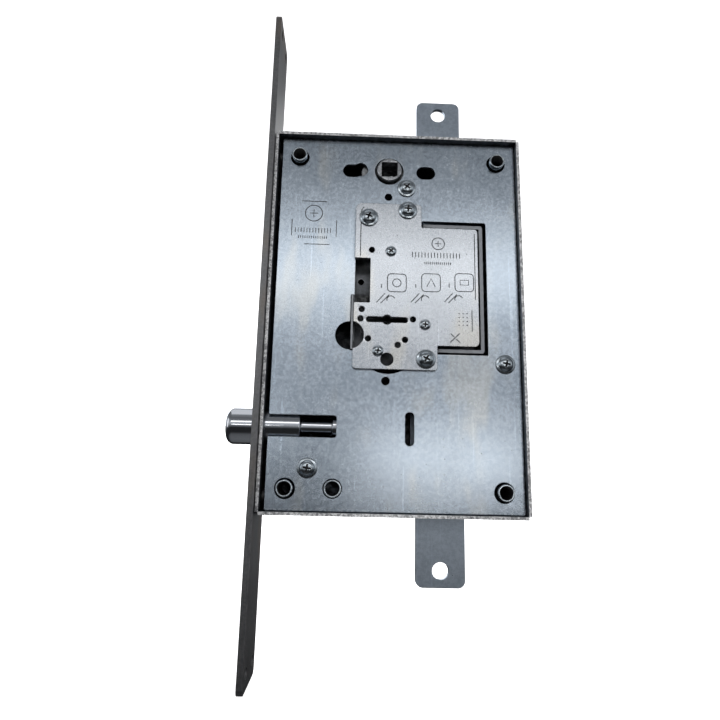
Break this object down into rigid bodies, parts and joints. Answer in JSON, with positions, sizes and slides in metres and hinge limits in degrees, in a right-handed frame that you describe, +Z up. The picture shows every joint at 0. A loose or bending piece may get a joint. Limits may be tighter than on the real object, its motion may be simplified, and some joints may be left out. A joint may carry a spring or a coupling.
{
  "type": "mortise lock",
  "caption": "Mortise lock for a door: long forend strip, sheet steel case, round deadbolt, rods above and below, square handle hub and a core of sliding levers under a stepped plate.",
  "frame": {"origin": "centre of the outer face of the forend strip", "axes": "+X into the case, away from the door edge; -Y out of the cover; +Z up, along the forend"},
  "size_m": [0.1452, 0.032, 0.338],
  "materials": {
    "forend_steel": "rolled mild steel, dark grey, faint rolling marks",
    "case_zinc": "zinc-plated sheet, bluish, satin",
    "cover_zinc": "zinc-plated sheet, bluish, smooth with a soft mottle",
    "core_steel": "zinc-plated sheet, lighter, satin",
    "bolt_chrome": "bright chrome",
    "rod_steel": "zinc-plated flat bar, satin",
    "screw_zinc": "bright zinc",
    "inner_steel": "plain pressed steel, lightly oiled",
    "lever_brass": "stamped brass",
    "spring_steel": "spring wire"
  },
  "bodies": {
    "case": {"bolt_guide": "inner_steel", "case_cover": "cover_zinc", "case_tray": "case_zinc", "core_box": "core_steel", "core_pillar_1": "inner_steel", "core_pillar_2": "inner_steel", "core_pillar_3": "inner_steel", "core_plate": "core_steel", "core_plate_screw_1": "screw_zinc", "core_plate_screw_2": "screw_zinc", "core_plate_screw_3": "screw_zinc", "core_screw_1": "screw_zinc", "core_screw_2": "screw_zinc", "core_screw_3": "screw_zinc", "cover_nut": "inner_steel", "cover_pillar_back": "inner_steel", "cover_pillar_front": "inner_steel", "cover_screw_1": "screw_zinc", "cover_screw_2": "screw_zinc", "cover_screw_3": "screw_zinc", "drill_plate": "inner_steel", "fixing_bush": "inner_steel", "forend_plate": "forend_steel", "forend_rivet_lower": "screw_zinc", "forend_rivet_upper": "screw_zinc", "guide_stud_lower": "screw_zinc", "guide_stud_upper": "screw_zinc", "lever_guide_pin": "screw_zinc", "lever_spring_1": "spring_steel", "lever_spring_2": "spring_steel", "lever_spring_3": "spring_steel", "lever_spring_4": "spring_steel", "lever_spring_5": "spring_steel", "lever_spring_6": "spring_steel", "post_bottom_back": "screw_zinc", "post_bottom_front": "screw_zinc", "post_top_back": "screw_zinc", "post_top_front": "screw_zinc"},
    "carriage": {"bolt_carriage": "inner_steel", "deadbolt": "bolt_chrome", "bolt_saddle": "inner_steel", "drive_pin_top": "screw_zinc", "drive_pin_bottom": "screw_zinc", "core_stud": "screw_zinc", "core_slider": "inner_steel"},
    "top_rod": {"top_rod": "rod_steel"},
    "bottom_rod": {"bottom_rod": "rod_steel"},
    "hub": {"handle_hub": "inner_steel", "hub_pin": "screw_zinc"},
    "lever_1": {"lever_1": "lever_brass"},
    "lever_2": {"lever_2": "lever_brass"},
    "lever_3": {"lever_3": "lever_brass"},
    "lever_4": {"lever_4": "lever_brass"},
    "lever_5": {"lever_5": "lever_brass"},
    "lever_6": {"lever_6": "lever_brass"}
  },
  "joints": [
    {"name": "deadbolt_slide", "type": "slide", "parent": "case", "child": "carriage", "axis": [-1, 0, 0], "range_m": [-0.014, 0.014]},
    {"name": "top_rod_slide", "type": "slide", "parent": "case", "child": "top_rod", "axis": [0, 0, 1], "range_m": [-0.014, 0.014]},
    {"name": "bottom_rod_slide", "type": "slide", "parent": "case", "child": "bottom_rod", "axis": [0, 0, -1], "range_m": [-0.014, 0.014]},
    {"name": "handle_turn", "type": "hinge", "parent": "case", "child": "hub", "pos_m": [0.063, 0, 0.0817], "axis": [0, 1, 0], "range_deg": [-30, 30]},
    {"name": "lever_1_lift", "type": "slide", "parent": "case", "child": "lever_1", "axis": [0, 0, 1], "range_m": [0, 0.0025], "stiffness_N_per_m": 60, "springref_m": -0.003, "deforming": ["lever_spring_1"]},
    {"name": "lever_2_lift", "type": "slide", "parent": "case", "child": "lever_2", "axis": [0, 0, 1], "range_m": [0, 0.0025], "stiffness_N_per_m": 60, "springref_m": -0.003, "deforming": ["lever_spring_2"]},
    {"name": "lever_3_lift", "type": "slide", "parent": "case", "child": "lever_3", "axis": [0, 0, 1], "range_m": [0, 0.0025], "stiffness_N_per_m": 60, "springref_m": -0.003, "deforming": ["lever_spring_3"]},
    {"name": "lever_4_lift", "type": "slide", "parent": "case", "child": "lever_4", "axis": [0, 0, 1], "range_m": [0, 0.0025], "stiffness_N_per_m": 60, "springref_m": -0.003, "deforming": ["lever_spring_4"]},
    {"name": "lever_5_lift", "type": "slide", "parent": "case", "child": "lever_5", "axis": [0, 0, 1], "range_m": [0, 0.0025], "stiffness_N_per_m": 60, "springref_m": -0.003, "deforming": ["lever_spring_5"]},
    {"name": "lever_6_lift", "type": "slide", "parent": "case", "child": "lever_6", "axis": [0, 0, 1], "range_m": [0, 0.0025], "stiffness_N_per_m": 60, "springref_m": -0.003, "deforming": ["lever_spring_6"]}
  ],
  "couplings": [
    {"joint": "top_rod_slide", "follows": "deadbolt_slide", "ratio": 1},
    {"joint": "bottom_rod_slide", "follows": "deadbolt_slide", "ratio": 1},
    {"joint": "handle_turn", "follows": "deadbolt_slide", "rad_per_m": 37.39}
  ]
}
